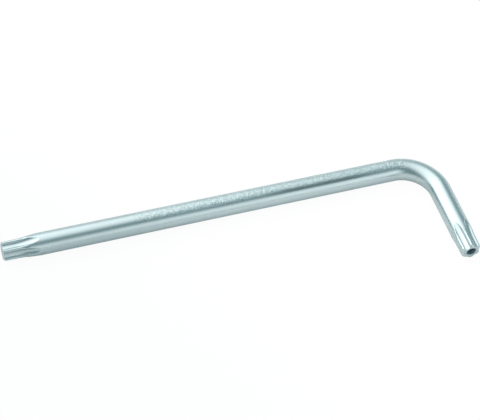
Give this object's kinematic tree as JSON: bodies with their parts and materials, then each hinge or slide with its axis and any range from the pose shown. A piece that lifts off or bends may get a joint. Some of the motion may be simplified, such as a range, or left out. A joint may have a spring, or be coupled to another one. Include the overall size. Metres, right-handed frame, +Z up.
{
  "type": "star key",
  "caption": "L-shaped star key bent from a round satin chrome bar, with a lobed driving tip on each arm and a pin hole in the short arm's end for tamper-resistant screws.",
  "frame": {"origin": "middle of the key's overall box, on the surface that the key lies on", "axes": "+X along the long arm towards the bend, -Y along the short arm towards its tip, +Z up from the surface that the key lies on"},
  "size_m": [0.144, 0.041, 0.007],
  "materials": {
    "satin_chrome": "satin chrome plate on steel, lightly blasted",
    "tip_chrome": "satin chrome plate on cut steel, smoother than the bar"
  },
  "bodies": {
    "root": {"long_star_tip": "tip_chrome", "long_shank": "satin_chrome", "bend": "satin_chrome", "short_shank": "satin_chrome", "short_star_tip": "tip_chrome"}
  },
  "joints": []
}
